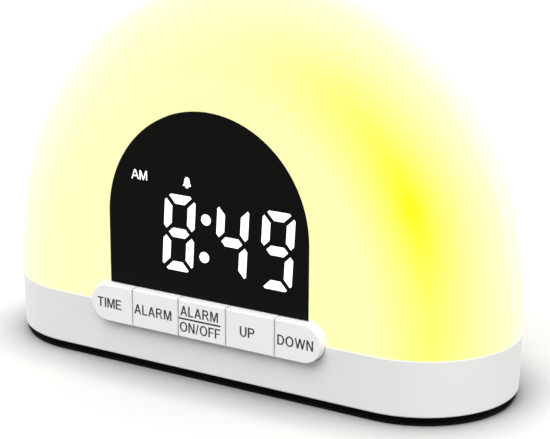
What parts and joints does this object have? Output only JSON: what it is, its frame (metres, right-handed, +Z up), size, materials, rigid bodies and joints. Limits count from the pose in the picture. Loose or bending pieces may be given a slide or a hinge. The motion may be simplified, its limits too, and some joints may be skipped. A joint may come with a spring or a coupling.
{
  "type": "sunrise alarm clock",
  "caption": "Bedside alarm clock: a frosted arch-shaped light shade on a white oval base, with a round-headed digital display and a row of push keys on its front.",
  "frame": {"origin": "middle of the sole's underside, on the surface that the clock stands on", "axes": "+X along the width, to the right of someone who looks at the display; -Y out of the front; +Z up"},
  "size_m": [0.17, 0.0628, 0.1174],
  "materials": {
    "frosted_shade": "frosted, lit from inside",
    "white_plastic": "fine matt white",
    "key_plastic": "satin white",
    "black_plastic": "matt black",
    "panel_black": "smooth black",
    "segment_lit": "lit white",
    "segment_unlit": "smoked",
    "board_green": "solder mask",
    "board_white": "white solder mask",
    "component_black": "moulded black",
    "connector_ivory": "moulded ivory",
    "led_phosphor": "phosphor",
    "can_aluminium": "drawn can",
    "steel": "plated steel",
    "black_screw": "black zinc",
    "silicone": "translucent silicone",
    "sole_rubber": "anti-slip pad",
    "cone_paper": "pressed paper",
    "magnet_ferrite": "ferrite",
    "ribbon_white": "flat flexible cable",
    "wire_red": "insulated wire"
  },
  "bodies": {
    "clock": {"backup_cell": "steel", "base_housing": "white_plastic", "board_connectors": "connector_ivory", "bottom_cover": "black_plastic", "capacitors": "can_aluminium", "case_screws": "black_screw", "cell_contacts": "steel", "control_chip": "component_black", "deck_screws": "steel", "display_board": "board_green", "display_module": "component_black", "display_panel": "panel_black", "display_ribbon": "ribbon_white", "display_screws": "steel", "display_shroud": "black_plastic", "inlet_shell": "steel", "inlet_tongue": "component_black", "key_board": "board_green", "key_board_screws": "steel", "key_dome_alarm": "silicone", "key_dome_alarm_on_off": "silicone", "key_dome_down": "silicone", "key_dome_time": "silicone", "key_dome_up": "silicone", "key_guide": "white_plastic", "key_mat": "silicone", "key_ribbon": "ribbon_white", "lamp_board": "board_white", "lamp_board_screws": "steel", "lamp_leads": "wire_red", "lamp_leds": "led_phosphor", "light_deck": "white_plastic", "lit_segments": "segment_lit", "main_board": "board_green", "main_board_screws": "steel", "segment_leds": "led_phosphor", "shade": "frosted_shade", "sole": "sole_rubber", "speaker_basket": "steel", "speaker_cone": "cone_paper", "speaker_leads": "wire_red", "speaker_magnet": "magnet_ferrite", "unlit_segments": "segment_unlit"},
    "key_time": {"keycap_time": "key_plastic"},
    "key_alarm": {"keycap_alarm": "key_plastic"},
    "key_alarm_on_off": {"keycap_alarm_on_off": "key_plastic"},
    "key_up": {"keycap_up": "key_plastic"},
    "key_down": {"keycap_down": "key_plastic"},
    "cap": {"battery_cap": "black_plastic"}
  },
  "joints": [
    {"name": "key_time_press", "type": "slide", "parent": "clock", "child": "key_time", "axis": [0, 1, 0], "range_m": [0, 0.001], "stiffness_N_per_m": 400, "springref_m": -0.001, "deforming": ["key_dome_time"]},
    {"name": "key_alarm_press", "type": "slide", "parent": "clock", "child": "key_alarm", "axis": [0, 1, 0], "range_m": [0, 0.001], "stiffness_N_per_m": 400, "springref_m": -0.001, "deforming": ["key_dome_alarm"]},
    {"name": "key_alarm_on_off_press", "type": "slide", "parent": "clock", "child": "key_alarm_on_off", "axis": [0, 1, 0], "range_m": [0, 0.001], "stiffness_N_per_m": 400, "springref_m": -0.001, "deforming": ["key_dome_alarm_on_off"]},
    {"name": "key_up_press", "type": "slide", "parent": "clock", "child": "key_up", "axis": [0, 1, 0], "range_m": [0, 0.001], "stiffness_N_per_m": 400, "springref_m": -0.001, "deforming": ["key_dome_up"]},
    {"name": "key_down_press", "type": "slide", "parent": "clock", "child": "key_down", "axis": [0, 1, 0], "range_m": [0, 0.001], "stiffness_N_per_m": 400, "springref_m": -0.001, "deforming": ["key_dome_down"]},
    {"name": "battery_cap_turn", "type": "hinge", "parent": "clock", "child": "cap", "pos_m": [-0.052, 0, 0.0012], "axis": [0, 0, -1], "range_deg": [0, 60]}
  ]
}
